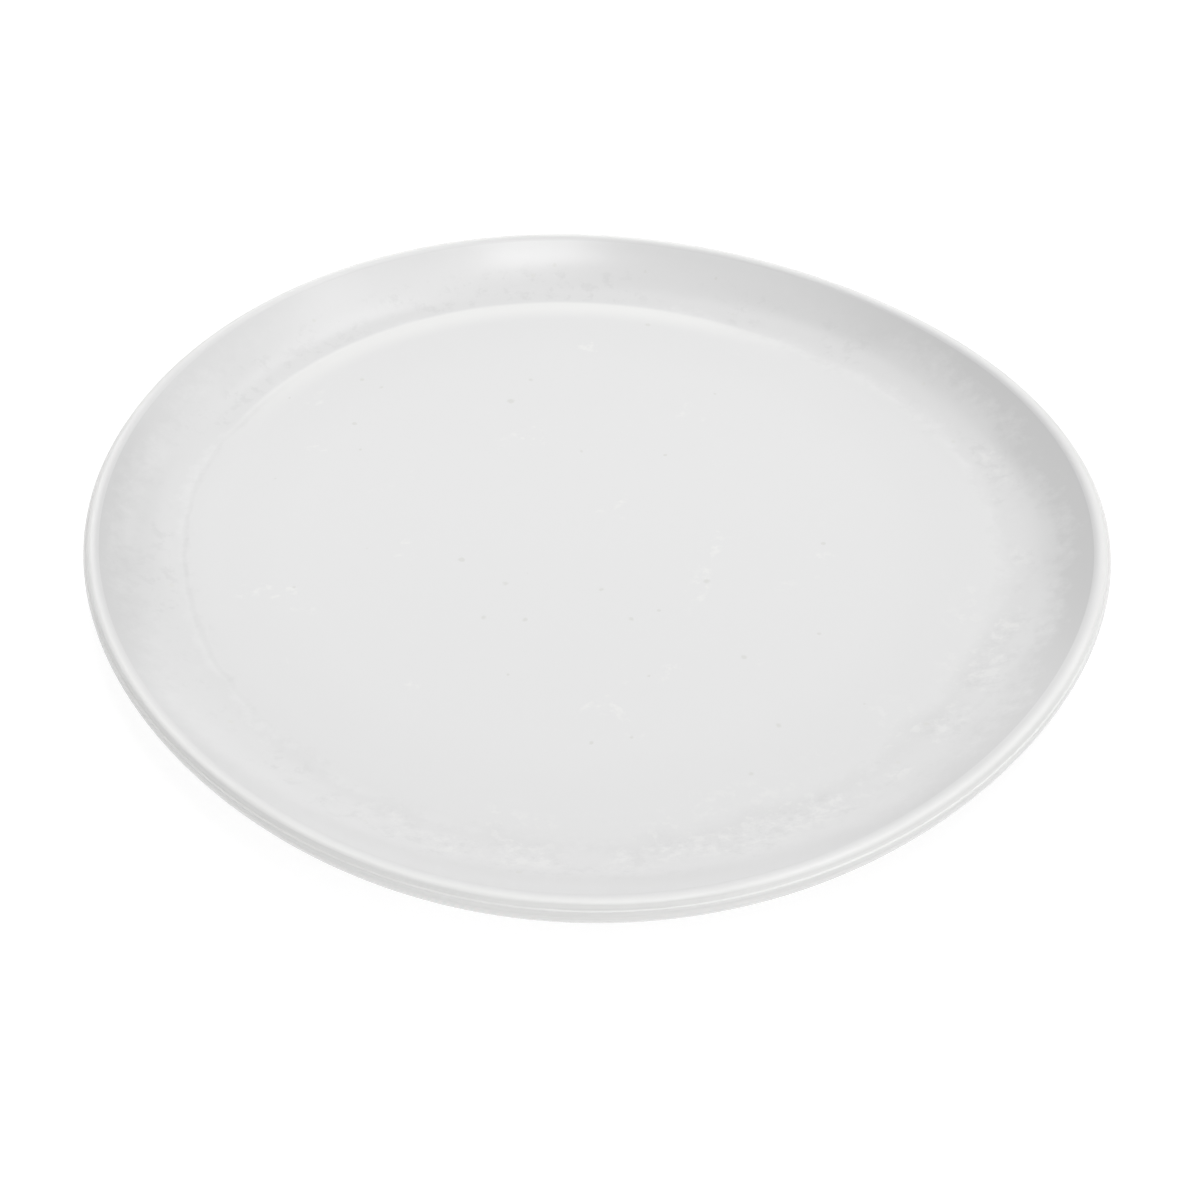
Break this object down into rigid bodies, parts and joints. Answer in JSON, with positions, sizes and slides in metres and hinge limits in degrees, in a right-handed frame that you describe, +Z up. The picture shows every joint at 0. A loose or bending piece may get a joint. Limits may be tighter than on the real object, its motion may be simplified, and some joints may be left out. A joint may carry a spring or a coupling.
{
  "type": "melamine plate",
  "caption": "Coupe dinner plate with a free pebble-like outline, a raised flat well, a gently curved wall and a thick rounded rim, standing on a foot ring.",
  "frame": {"origin": "on the table under the middle of the plate's outline", "axes": "+Z up, out of the well; +X to the right and +Y away from the viewer, as the plate lies in the picture"},
  "size_m": [0.2562, 0.2662, 0.0156],
  "materials": {
    "melamine_body": "pressed melamine, off-white, satin, faint polishing streaks on the outside",
    "printed_foil": "resin-soaked decor paper, off-white with paler cloudy blotches and a few fine specks",
    "clear_glaze": "clear melamine glaze, satin gloss, showing the foil below it"
  },
  "bodies": {
    "root": {"plate_body": "melamine_body", "decor_foil": "printed_foil", "glaze_coat": "clear_glaze"}
  },
  "joints": []
}
